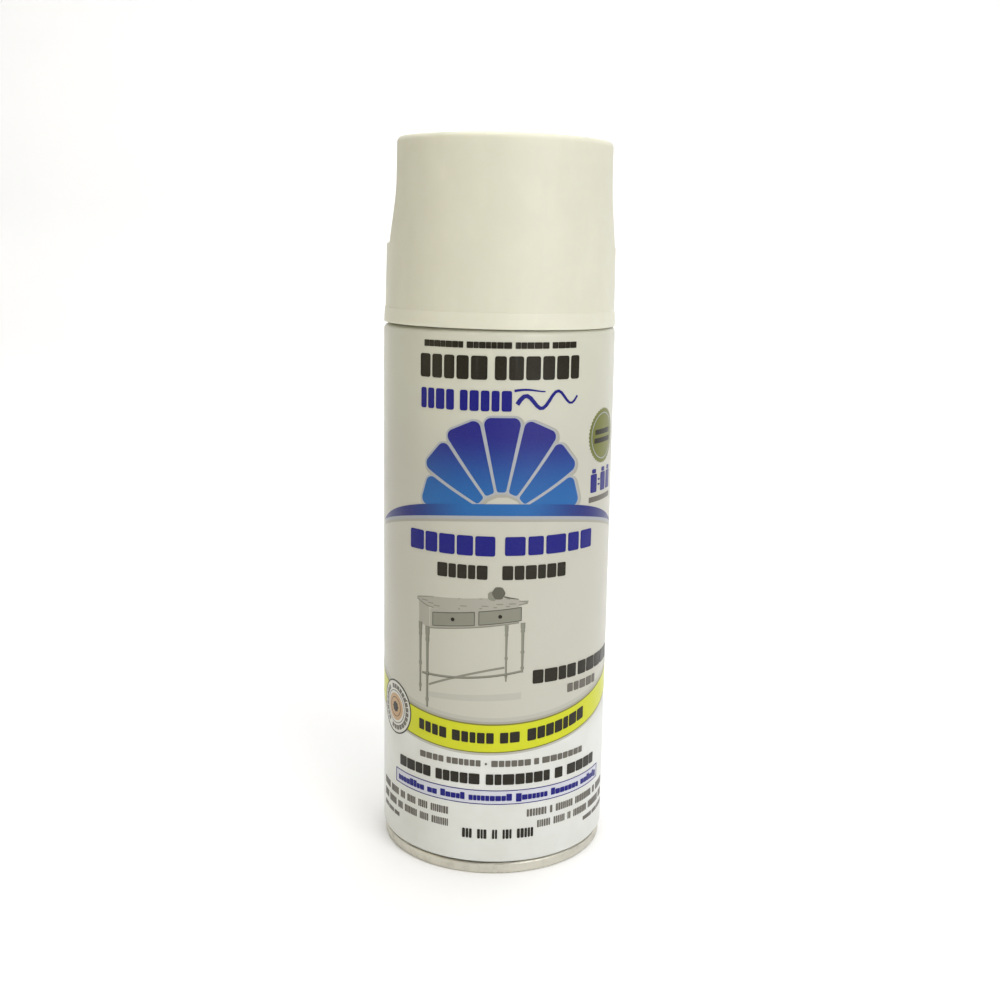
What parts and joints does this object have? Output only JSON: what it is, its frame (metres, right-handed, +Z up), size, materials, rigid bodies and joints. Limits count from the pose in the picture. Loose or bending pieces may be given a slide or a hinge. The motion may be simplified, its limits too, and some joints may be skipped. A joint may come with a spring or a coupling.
{
  "type": "aerosol spray can",
  "caption": "Tinplate aerosol spray can with seamed ends, spring valve, push button with spray insert, dip tube, mixing ball and a lift-off overcap with grip flats.",
  "frame": {"origin": "centre of the ring the can stands on, at floor level", "axes": "+Z up along the can's axis; -Y is the front, where the nozzle points; +X is the right seen from the front"},
  "size_m": [0.066, 0.066, 0.202],
  "materials": {
    "printed_tinplate": "litho-printed white tinplate, semi-gloss varnish",
    "tinplate": "bright tinplate, lightly scuffed",
    "cap_plastic": "cream polypropylene, satin",
    "button_plastic": "white polypropylene, satin",
    "nozzle_plastic": "natural acetal",
    "valve_plastic": "natural nylon",
    "stem_plastic": "natural acetal",
    "tube_plastic": "translucent polyethylene",
    "gasket_rubber": "black buna rubber",
    "sleeve_rubber": "grey sleeve gasket",
    "seam_compound": "seam sealing compound",
    "spring_steel": "stainless spring wire",
    "ball_steel": "polished steel",
    "ball_glass": "clear green glass",
    "paint_liquid": "liquid enamel with dissolved propellant"
  },
  "bodies": {
    "can": {"can_body": "printed_tinplate", "dome_top": "tinplate", "bottom_end": "tinplate", "neck_seam_compound": "seam_compound", "base_seam_compound": "seam_compound", "mounting_cup": "tinplate", "cup_gasket": "sleeve_rubber", "stem_gasket": "gasket_rubber", "valve_housing": "valve_plastic", "check_seat_plug": "valve_plastic", "valve_spring": "spring_steel", "dip_tube": "tube_plastic", "paint_charge": "paint_liquid"},
    "stem": {"valve_stem": "stem_plastic"},
    "actuator": {"actuator_button": "button_plastic", "nozzle_insert": "nozzle_plastic"},
    "check_ball": {"check_ball": "ball_steel"},
    "mixing_ball": {"mixing_ball": "ball_glass"},
    "cap": {"overcap": "cap_plastic"}
  },
  "joints": [
    {"name": "cap_lift", "type": "slide", "parent": "can", "child": "cap", "axis": [0, 0, 1], "range_m": [0, 0.06]},
    {"name": "stem_press", "type": "slide", "parent": "can", "child": "stem", "axis": [0, 0, -1], "range_m": [0, 0.0012], "stiffness_N_per_m": 12000, "deforming": ["valve_spring"]},
    {"name": "actuator_turn", "type": "hinge", "parent": "stem", "child": "actuator", "pos_m": [0, 0, 0.178], "axis": [0, 0, 1], "continuous": true},
    {"name": "check_ball_travel", "type": "slide", "parent": "can", "child": "check_ball", "axis": [0, 0, 1], "range_m": [0, 0.0026]},
    {"name": "mixing_ball_rattle", "type": "slide", "parent": "can", "child": "mixing_ball", "axis": [0, 0, 1], "range_m": [0, 0.118], "deforming": ["paint_charge"]}
  ]
}
